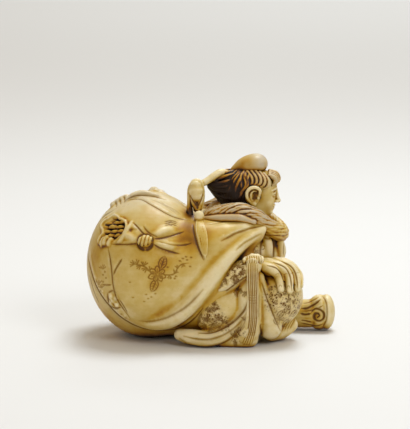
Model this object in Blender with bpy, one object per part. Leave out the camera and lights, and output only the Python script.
"""Okimono: a man in a brocade robe sits with one hand on his knee and leans back on a large tied sack.

The whole carving is one solid. Its forms are written in parts of its own length, PARTS to the length,
so the figure keeps its proportions when LENGTH changes. X runs from the sack to the figure's foot, Y
away from the front, Z up. The front is seen from FRONT_RISE above the horizon.
"""

import math

import bmesh
import bpy
import numpy as np
from mathutils import Euler, Matrix, Vector
from mathutils.bvhtree import BVHTree

LENGTH = 0.056  # from the sack's back to the sole of the foot
PARTS = 56.0  # the forms below are in 56ths of the length
UNIT = LENGTH / PARTS
FRONT_RISE = math.radians(10)
MIDDLE = 0.5  # depth of the plane that the two sides mirror across

VOXEL = 0.34  # grid that the forms are fused on, in parts
TRIANGLES = 9600  # what the finished solid is thinned to
TAUT = 30  # rounds of smoothing that draw the sack's cloth taut
SOFT = 8  # rounds that blend its rolled edge into it

IVORY = (0.80, 0.66, 0.38, 1.0)
IVORY_ROUGHNESS = 0.32

AHEAD = Vector((0, math.cos(FRONT_RISE), -math.sin(FRONT_RISE)))  # the line of sight of the front view


def seen(across, up, depth):
    """The point that shows at (across, up) in the front view, at that depth."""
    return Vector((across, depth, (up - depth * math.sin(FRONT_RISE)) / math.cos(FRONT_RISE)))


# Ellipsoids that other forms lie on: centre, radii
SACK = (Vector((-13.5, 0.5, 15.9)), Vector((14.1, 16.4, 16.4)))
SACK_FRONT = (Vector((-2.0, 0.5, 14.2)), Vector((15.0, 15.4, 14.2)))
KNEE = (seen(14.2, 9.0, -6.0), Vector((6.4, 6.9, 7.0)))
SKULL = (Vector((9.8, 0.3, 32.4)), Vector((5.0, 4.5, 5.0)))


def far(points):
    """The points mirrored to the far side."""
    return [Vector((p[0], 2 * MIDDLE - p[1], p[2])) for p in points]


def on_ball(ball, across, up, lift=0.0):
    """The point of the ball that shows at (across, up) in the front view, lifted off its surface."""
    centre, radii = ball
    shrink = Vector(1 / radius for radius in radii)
    offset = (seen(across, up, 0) - centre) * shrink
    step = AHEAD * shrink
    square, half, rest = step.dot(step), offset.dot(step), offset.dot(offset) - 1
    way = (-half - math.sqrt(max(0.0, half**2 - square * rest))) / square
    point = seen(across, up, 0) + AHEAD * way
    out = ((point - centre) * shrink * shrink).normalized()
    return point + out * lift


def smooth_line(points, radii=None, spacing=0.7):
    """Points of a Catmull-Rom curve through the given ones, with their radii blended along it."""
    points = [Vector(p) for p in points]
    radii = list(radii) if radii is not None else [1.0] * len(points)
    ends = [2 * points[0] - points[1], *points, 2 * points[-1] - points[-2]]
    line, widths = [], []
    for i in range(len(points) - 1):
        a, b, c, d = ends[i : i + 4]
        steps = max(2, math.ceil((c - b).length / spacing))
        for k in range(steps):
            t = k / steps
            bend = (2 * a - 5 * b + 4 * c - d) * t**2 + (3 * b - a - 3 * c + d) * t**3
            line.append(0.5 * (2 * b + (c - a) * t + bend))
            ease = t * t * (3 - 2 * t)
            widths.append(radii[i] * (1 - ease) + radii[i + 1] * ease)
    return [*line, points[-1]], [*widths, radii[-1]]


class Forms:
    """Closed forms that overlap each other, gathered in one mesh before they are fused."""

    def __init__(self, start=None):
        """Empty, or with the mesh of an object, which it uses up."""
        self.mesh = bmesh.new()
        if start is not None:
            self.mesh.from_mesh(start.data)
            bpy.data.objects.remove(start)

    def ball(self, centre, radii, turn=(0, 0, 0)):
        """An ellipsoid, turned by these angles in degrees."""
        turned = Euler([math.radians(angle) for angle in turn]).to_matrix().to_4x4()
        matrix = Matrix.Translation(centre) @ turned @ Matrix.Diagonal((*radii, 1))
        bmesh.ops.create_icosphere(self.mesh, subdivisions=4, radius=1, matrix=matrix)

    def limb(self, points, radii, flat=1.0, face=(0, -1, 0), sides=16):
        """A round-ended tube through the points. flat squeezes it along face, for straps and folds."""
        line, widths = smooth_line(points, radii)
        rings = []
        for i, centre in enumerate(line):
            ahead = (line[min(i + 1, len(line) - 1)] - line[max(i - 1, 0)]).normalized()
            across = ahead.cross(Vector(face)).normalized()
            out = across.cross(ahead)
            caps = {0: (-0.92, -0.6, 0), len(line) - 1: (0, 0.6, 0.92)}.get(i, (0,))
            for share in caps:
                radius = widths[i] * math.sqrt(1 - share**2)
                middle = centre + ahead * share * widths[i] * min(1, flat + 0.3)
                ring = []
                for k in range(sides):
                    turn = 2 * math.pi * k / sides
                    spoke = across * math.cos(turn) + out * flat * math.sin(turn)
                    ring.append(self.mesh.verts.new(middle + spoke * radius))
                rings.append(ring)
        for low, high in zip(rings, rings[1:]):
            for k in range(sides):
                self.mesh.faces.new((low[k], low[k - 1], high[k - 1], high[k]))
        self.mesh.faces.new(rings[0])
        self.mesh.faces.new(rings[-1][::-1])

    def both_sides(self, points, radii, **shape):
        """A limb, and its mirror image on the far side."""
        self.limb(points, radii, **shape)
        self.limb(far(points), radii, **shape)

    def fused(self, name, voxel):
        """One closed mesh object: the forms joined on a voxel grid."""
        bmesh.ops.recalc_face_normals(self.mesh, faces=self.mesh.faces)
        data = bpy.data.meshes.new(name)
        self.mesh.to_mesh(data)
        self.mesh.free()
        piece = bpy.data.objects.new(name, data)
        bpy.context.scene.collection.objects.link(piece)
        fuse = piece.modifiers.new("fuse", "REMESH")
        fuse.mode = "VOXEL"
        fuse.voxel_size = voxel
        return applied(piece)


def applied(piece):
    """The object with its modifiers made part of its mesh."""
    graph = bpy.context.evaluated_depsgraph_get()
    made = bpy.data.meshes.new_from_object(piece.evaluated_get(graph))
    piece.modifiers.clear()
    piece.data = made
    return piece


class Surface:
    """The skin of a fused object, for smoothing it and cutting lines into it."""

    def __init__(self, piece):
        self.mesh = piece.data
        count = len(self.mesh.vertices)
        self.points = np.empty(count * 3)
        self.mesh.vertices.foreach_get("co", self.points)
        self.points = self.points.reshape(-1, 3)
        ends = np.empty(len(self.mesh.edges) * 2, np.int32)
        self.mesh.edges.foreach_get("vertices", ends)
        self.ends = ends.reshape(-1, 2)
        self.degree = np.bincount(self.ends.ravel(), minlength=count)[:, None]

    def mean(self, values):
        """Each point's mean of its neighbours."""
        total = np.zeros_like(values)
        for near, far_end in (self.ends.T, self.ends.T[::-1]):
            for axis in range(3):
                total[:, axis] += np.bincount(near, values[far_end, axis], len(values))
        return total / self.degree

    def smooth(self, rounds, share=0.5):
        """Rounds off creases and writes the result back to the mesh."""
        for _ in range(rounds):
            self.points += share * (self.mean(self.points) - self.points)
        self.write()

    def write(self):
        self.mesh.vertices.foreach_set("co", self.points.ravel())
        self.mesh.update()

    def normals(self):
        found = np.empty(len(self.points) * 3)
        self.mesh.vertices.foreach_get("normal", found)
        return found.reshape(-1, 3)

    def tree(self):
        """The surface as it is now, to cast lines of sight on."""
        faces = [tuple(face.vertices) for face in self.mesh.polygons]
        return BVHTree.FromPolygons([tuple(point) for point in self.points], faces)

    def distance(self, line, reach):
        """Each point's distance to a line of points, infinite where it is over the reach."""
        line = np.array(line)
        inside = (self.points > line.min(0) - reach) & (self.points < line.max(0) + reach)
        near = np.flatnonzero(inside.all(1))
        best = np.full(len(near), np.inf)
        for start, end in zip(line, line[1:]):
            along = end - start
            offset = self.points[near] - start
            share = np.clip(offset @ along / (along @ along), 0, 1)
            best = np.minimum(best, np.linalg.norm(offset - share[:, None] * along, axis=1))
        found = np.full(len(self.points), np.inf)
        found[near] = best
        return found

    def press(self, line, width, depth):
        """A groove of that half width along the line."""
        share = np.exp(-((self.distance(line, 3 * width) / width) ** 2))
        self.points -= depth * share[:, None] * self.normals()
        self.write()

    def hollow(self, centre, radius, depth):
        """A steep-sided hollow with a level floor."""
        share = np.linalg.norm(self.points - np.array(centre), axis=1) / radius
        drop = depth * np.clip(1 - share**6, 0, 1)
        self.points -= drop[:, None] * self.normals()
        self.write()


def on_front(tree, marks, far_side=False):
    """Marks of the front view, (across, up), as a smooth line on the surface, or on its far side."""
    flat, _ = smooth_line([(across, up, 0) for across, up in marks], spacing=0.5)
    line = []
    for mark in flat:
        start = seen(mark.x, mark.y, 0) - AHEAD * 60
        sight = AHEAD
        if far_side:
            start, sight = far([start])[0], Vector((0, -AHEAD.y, AHEAD.z))
        hit = tree.ray_cast(start, sight)[0]
        if hit is not None:
            line.append(hit)
    return line


def add_sack(forms):
    """The full sack, and the cloth that is drawn up over the figure's back to both shoulders."""
    forms.ball(*SACK)
    forms.ball((-7.5, 0.5, 14.6), (14.8, 16.0, 14.5))
    forms.ball(*SACK_FRONT)
    forms.both_sides([seen(-4, 20, -6.6), seen(3, 20.4, -7.6), seen(9.6, 22.4, -6.6)], (6.2, 5.4, 3.4))
    forms.both_sides([seen(-3.0, 13.6, -8.4), seen(2.0, 19.0, -8.6), seen(7.4, 22.6, -7.6)], (7.4, 5.2, 3.4))


def add_lip(forms):
    """The rolled edge of the cloth, that sweeps from each shoulder down under the sack."""
    lip = [
        seen(11.9, 23.4, -7.6), seen(8.6, 20.8, -10.6), seen(5.2, 17.4, -12.6), seen(2.2, 13.6, -14.0),
        seen(-1.0, 9.6, -14.6), seen(-5.4, 5.6, -13.8), seen(-10.0, 3.6, -11.8), seen(-16.0, 3.4, -9.4),
    ]
    forms.both_sides(lip, (1.2, 1.5, 1.8, 2.0, 2.2, 2.3, 2.2, 1.6))
    # The tied-off corner on the far side of the top
    forms.ball((-13.2, 4.5, 31.0), (2.2, 2.6, 0.9))
    forms.ball((-12.7, 5.2, 31.7), (1.2, 1.4, 0.8))


def add_tears(forms):
    """What shows through the torn holes, high on both sides of the sack: rows of rolled-up bundles."""
    for across, up in ((-22.6, 25.1), (-22.9, 23.7), (-22.8, 22.3)):
        row = [on_ball(SACK, across + step, up + 0.12 * step, -0.6) for step in (0.0, 1.8, 3.6)]
        forms.both_sides(row, (0.55, 0.7, 0.55))


def add_knot(forms):
    """The knotted cord on the sack's front, with the pleats that it pulls."""
    forms.ball(on_ball(SACK, -14.0, 21.0, 0.2), (1.6, 1.2, 1.3), (0, 20, 0))
    for shift in (-0.8, 0.1, 1.0):
        wrap = [on_ball(SACK, -14.0 + shift + side * 0.35, 21.0 + side, 0.9) for side in (-1.0, 0.0, 1.0)]
        forms.limb(wrap, (0.42, 0.55, 0.42))
    pleats = (
        [(-16.0, 21.3), (-18.0, 22.2), (-20.0, 22.0)],
        [(-12.6, 22.0), (-10.0, 23.4), (-6.4, 23.9)],
        [(-12.4, 20.8), (-9.0, 19.6), (-5.0, 20.2)],
    )
    for pleat in pleats:
        forms.limb([on_ball(SACK, a, b, -0.5) for a, b in pleat], (0.9, 1.1, 0.6))


def add_robe(forms):
    """The trunk, the arms in their wide sleeves, both knees and the skirts."""
    forms.limb([(5, MIDDLE, 9), (7.4, MIDDLE, 19), (8.2, MIDDLE, 25)], (9.0, 8.2, 5.0))
    forms.limb([seen(-1.5, 8.0, -10.6), seen(4.2, 13.0, -11.8), seen(9.3, 15.7, -12.2)], (3.0, 2.8, 2.1))
    forms.limb([seen(8.9, 14.3, -11.8), seen(8.6, 8, -12.4), seen(8.0, 1.6, -11.8)], (1.9, 2.8, 3.2))
    forms.ball(seen(2.6, 6.4, -9.8), (6.6, 4.7, 6.3), (0, -29, 0))
    hem = [
        seen(-6.6, 0.5, -11.2), seen(-4, 0.0, -12.4), seen(0, -0.3, -13.0), seen(4, 1.4, -13.3),
        seen(6.4, 4.6, -13.5), seen(7.6, 8.6, -13.2),
    ]
    forms.limb(hem, (1.4, 1.8, 1.9, 1.6, 1.2, 0.8))
    forms.limb([seen(2.4, -0.5, -11.6), seen(8.4, -0.2, -12.0)], (2.0, 2.3))
    # The inside of the sleeve, seen past its border
    forms.limb([seen(11.0, 13.4, -11.8), seen(11.9, 7.6, -11.6), seen(13.2, 2.0, -9.8)], (0.9, 1.8, 2.7))
    forms.ball(*KNEE)
    forms.limb([seen(14.0, 9.0, -6.0), seen(15.4, 3.2, -4.8)], (5.6, 3.5))
    # The far arm comes forward to the far knee, with its sleeve hanging to the ground
    forms.limb([(8, 8, 23), (11.0, 9.6, 17), (13.4, 6.0, 14.5)], (4.2, 3.4, 2.4))
    forms.limb([(5, 11.0, 15.5), (9.5, 12.0, 12.5), (13.5, 9.5, 12.5)], (3.6, 3.4, 2.4))
    forms.limb([(10.5, 12.0, 12.0), (9.5, 13.2, 6.5), (8.6, 13.4, 2.6)], (2.6, 3.2, 3.0))
    forms.ball((1.2, 11.4, 6.0), (7.0, 4.6, 6.0))
    forms.limb(far(hem), (1.4, 1.8, 1.9, 1.6, 1.2, 0.8))
    forms.ball((14.4, 6.6, 6.4), (6.4, 5.6, 6.3))
    forms.limb([seen(14.6, 21.6, 1.4), seen(15.8, 19.0, 2.4), seen(15.3, 16.4, 2.6)], (1.3, 1.3, 1.2))


def add_band(forms):
    """The stitched border of the near sleeve, from the wrist to the ground."""
    band = [seen(9.2, 16.6, -14.0), seen(9.3, 9.0, -15.0), seen(9.1, 3.6, -14.9), seen(7.8, -0.6, -13.9)]
    forms.limb(band, (1.3, 1.35, 1.45, 1.8), flat=0.35)


def add_collar(forms):
    """The shaggy tippet that lies round the neck and shoulders."""
    near = [
        seen(-0.8, 26.4, -4.2), seen(2.8, 27.2, -5.4), seen(6.6, 27.6, -6.2), seen(9.8, 26.8, -6.0),
        seen(12.4, 25.0, -4.8), seen(14.7, 23.6, -2.6),
    ]
    front = [Vector((15.6, MIDDLE, 23.6))]
    forms.limb([*near, *front, *far(near)[::-1]], (1.3, 1.6, 1.8, 1.8, 1.7, 1.7, 1.8) + (1.7, 1.7, 1.8, 1.8, 1.6, 1.3))
    forms.limb([(3, MIDDLE, 26.2), (11, MIDDLE, 25.6)], (4.8, 4.8))


def add_head(forms):
    """The head in profile, its swept-back hair, and the round cap on the crown."""
    forms.limb([(8.6, MIDDLE, 25), (9.4, MIDDLE, 29)], (4.0, 3.8))
    forms.ball(*SKULL)
    forms.limb([(11.6, 0.4, 31.0), (12.6, 0.4, 28.4)], (3.5, 2.4))
    forms.limb([(14.4, 0.4, 32.0), (15.5, 0.4, 30.3)], (0.7, 0.85))
    forms.ball((14.2, 0.4, 28.3), (0.9, 1.3, 0.7))
    forms.ball((13.9, 0.4, 27.0), (1.2, 1.4, 1.0))
    forms.ball((9.8, -4.4, 31.3), (1.2, 0.7, 1.9))
    forms.ball((9.8, 5.2, 31.3), (1.2, 0.7, 1.9))


def add_hair(forms):
    """The thick hair, combed back from the brow and gathered low at the nape."""
    forms.limb([(10.4, 0.3, 34.4), (6.6, 0.3, 33.6), (3.4, 0.2, 31.2)], (4.6, 5.0, 3.4))
    forms.limb([(4.4, 0.2, 31.0), (2.4, 0.2, 28.4)], (3.4, 2.6))
    forms.ball((12.8, 0.3, 35.2), (2.9, 3.4, 2.4))
    for side in (-1, 1):
        forms.ball((11.2, 0.3 + side * 3.9, 34.6), (2.3, 1.4, 2.2))
    # The cap
    forms.ball((9.4, 0.6, 38.6), (4.1, 3.7, 2.7), (0, -8, 0))


def add_hand(forms):
    """The near hand, laid over the knee with the fingers apart."""
    forms.ball(seen(13.3, 15.3, -8.8), (3.8, 3.6, 2.0), (0, 10, 0))
    fingers = (
        [seen(12.0, 15.8, -11.2), seen(13.9, 15.2, -11.8), seen(15.2, 13.2, -13.0), seen(15.6, 9.9, -13.6)],
        [seen(13.8, 16.4, -8.8), seen(16.3, 15.0, -9.8), seen(17.6, 12.6, -11.6), seen(17.8, 9.8, -12.8)],
        [seen(14.8, 16.6, -7.0), seen(17.6, 15.2, -7.8), seen(19.0, 12.8, -9.6), seen(19.3, 10.2, -10.8)],
        [seen(15.6, 16.4, -5.2), seen(18.8, 14.9, -5.8), seen(20.2, 12.4, -7.4), seen(20.5, 10.4, -8.4)],
    )
    for finger in fingers:
        forms.limb(finger, (1.1, 1.05, 0.95, 0.7))
    forms.limb([seen(11.4, 14.6, -12.6), seen(12.9, 13.0, -13.4), seen(13.6, 11.2, -13.6)], (1.0, 0.95, 0.65))


def add_foot(forms):
    """The outstretched leg in its strapped boot, with the sole facing forward."""
    forms.limb([(12, 5.6, 4.4), (19, 5.2, 3.8), (22.6, 4.8, 3.9)], (4.4, 3.2, 2.9))
    forms.ball((24.2, 4.6, 4.2), (3.2, 3.2, 3.9))
    forms.ball((26.5, 4.6, 4.3), (1.7, 3.3, 4.0))


def add_tie(forms):
    """The tie of the sack: its upright loop, the knot, the tassel and the strap to the head."""
    loop = [
        seen(-4.5, 25.0, -4.0), seen(-4.5, 30.0, -3.4), seen(-3.2, 33.6, -3.4), seen(-1.7, 31.6, -3.8),
        seen(-1.9, 28.0, -4.8),
    ]
    forms.limb(loop, (0.9, 1.0, 1.1, 0.8, 0.7))
    forms.limb([seen(-3.2, 33.0, -4.4), seen(-3.1, 30.8, -4.8), seen(-2.8, 28.6, -5.0)], (1.45, 1.3, 0.5))
    forms.ball(seen(-2.3, 26.5, -7.4), (1.1, 1.0, 1.3))
    forms.limb([seen(-1.9, 25.0, -8.6), seen(-1.6, 21.6, -12.2), seen(-1.1, 17.4, -14.3)], (1.3, 1.5, 0.4), flat=0.6)
    forms.limb([seen(-1.8, 33.4, -2.8), seen(0.9, 35.2, -1.4), seen(3.6, 36.6, 0.0)], (1.1, 1.2, 1.2))


TEAR = (-21.1, 23.9)  # where the torn hole shows in the front view
TEAR_RADIUS = 2.9
TEAR_DEPTH = 1.1

# Creases that show from a step away, as marks of the front view
SACK_SEAMS = (
    [(-17.1, 30.8), (-15.1, 30.2), (-13.3, 29.2), (-11.1, 28.1), (-8.9, 26.8), (-6.7, 25.9), (-5.0, 25.6)],
    [(-18.2, 30.4), (-17.1, 31.0), (-15.6, 31.3), (-12.9, 31.2), (-11.1, 30.7)],
    [(-22.2, 19.2), (-21.8, 16.3), (-21.4, 13.4), (-21.1, 10.6), (-20.4, 8.6), (-19.3, 6.6), (-17.6, 4.3)],
    [(-26.7, 15.0), (-25.8, 12.3), (-24.9, 10.6), (-22.0, 6.6), (-18.9, 3.7), (-15.1, 1.9), (-8.9, 1.1)],
    [(-15.6, 3.6), (-13.3, 3.4), (-10.7, 4.1), (-7.8, 5.2), (-5.6, 6.6)],
)
KNOT_PLEATS = (
    [(-16.7, 25.0), (-15.3, 23.7), (-14.4, 22.6)],
    [(-14.2, 24.6), (-13.1, 23.0), (-11.8, 21.7)],
    [(-11.6, 21.7), (-8.9, 22.1), (-6.0, 23.0)],
    [(-12.2, 20.1), (-10.4, 19.2), (-8.4, 18.7), (-6.7, 18.3)],
    [(-15.6, 21.0), (-17.3, 20.6), (-18.9, 20.3)],
    [(-17.1, 25.4), (-18.2, 23.0), (-19.6, 21.2)],
)
SLEEVE_FOLDS = (
    [(0.4, 8.8), (2.2, 9.7), (4.0, 10.3), (6.0, 11.7), (8.0, 13.0)],
    [(7.8, 7.2), (6.7, 5.2), (4.9, 3.4), (2.7, 1.9), (0.0, 1.0), (-2.7, 1.2)],
)
CLOTH_FOLDS = (
    [(2.7, 21.2), (4.9, 22.6), (7.1, 23.2)],
    [(-3.3, 24.3), (-2.9, 21.7), (-2.0, 19.0), (-1.1, 17.2)],
)


def carve(surface):
    """Cuts the torn holes, seams, folds and locks of hair into the fused surface."""
    tree = surface.tree()
    for side in (False, True):
        for lines, width, depth in (
            (SACK_SEAMS, 0.35, 0.3), (SLEEVE_FOLDS, 0.5, 0.6), (CLOTH_FOLDS, 0.55, 0.4),
        ):
            for marks in lines:
                surface.press(on_front(tree, marks, side), width, depth)
    for marks in KNOT_PLEATS:
        surface.press(on_front(tree, marks), 0.4, 0.4)
    for side in (-1, 1):
        for lock in range(8):
            share = lock / 7
            root = Vector((12.6 - 8.0 * share, MIDDLE + side * 2.4, 37.0 - 1.2 * share))
            crook = Vector((9.6 - 6.6 * share, MIDDLE + side * 4.9, 34.0 - 0.4 * share))
            tip = Vector((6.4 - 4.4 * share, MIDDLE + side * 4.6, 30.6 - 0.8 * share))
            line, _ = smooth_line([root, crook, tip], spacing=0.4)
            on_hair = [tree.find_nearest(point)[0] for point in line]
            surface.press(on_hair, 0.3, 0.4)


def cloth_forms():
    """The sack with its rolled edges and torn holes, fused, as the first of the carving's forms."""
    forms = Forms()
    add_sack(forms)
    sack = forms.fused("sack", VOXEL)
    Surface(sack).smooth(TAUT)
    forms = Forms(sack)
    add_lip(forms)
    cloth = forms.fused("cloth", VOXEL)
    surface = Surface(cloth)
    surface.smooth(SOFT)
    hole = on_ball(SACK, *TEAR)
    for centre in (hole, far([hole])[0]):
        surface.hollow(centre, TEAR_RADIUS, TEAR_DEPTH)
    return Forms(cloth)


def main():
    for old in list(bpy.data.objects):
        bpy.data.objects.remove(old)
    forms = cloth_forms()
    for add in (
        add_tears, add_knot, add_robe, add_band, add_collar, add_head, add_hair, add_hand, add_foot, add_tie,
    ):
        add(forms)
    carving = forms.fused("carving", VOXEL)
    surface = Surface(carving)
    surface.smooth(2)
    carve(surface)
    carving.data.transform(Matrix.Scale(UNIT, 4))
    thin = carving.modifiers.new("thin", "DECIMATE")
    thin.ratio = TRIANGLES / (2 * len(carving.data.polygons))
    carving = applied(carving)
    stand_on_floor(carving)
    carving.data.materials.append(ivory())


def stand_on_floor(carving):
    """Cuts the underside flat at the floor and moves the middle of the carving over the origin."""
    corners = np.array(carving.bound_box)
    low, high = corners.min(0), corners.max(0)
    shift = Vector((-(low[0] + high[0]) / 2, -(low[1] + high[1]) / 2, 0))
    carving.data.transform(Matrix.Translation(shift))
    bpy.ops.mesh.primitive_cube_add(size=2 * LENGTH, location=(0, 0, -LENGTH))
    cutter = bpy.context.object
    cutter.name = "floor_cutter"
    cutter.hide_render = True
    cutter.display_type = "WIRE"
    cut = carving.modifiers.new("flat_underside", "BOOLEAN")
    cut.operation = "DIFFERENCE"
    cut.object = cutter


def ivory():
    """Aged ivory, polished."""
    material = bpy.data.materials.new("ivory")
    material.use_nodes = True
    shader = material.node_tree.nodes["Principled BSDF"]
    shader.inputs["Base Color"].default_value = IVORY
    shader.inputs["Roughness"].default_value = IVORY_ROUGHNESS
    return material


main()
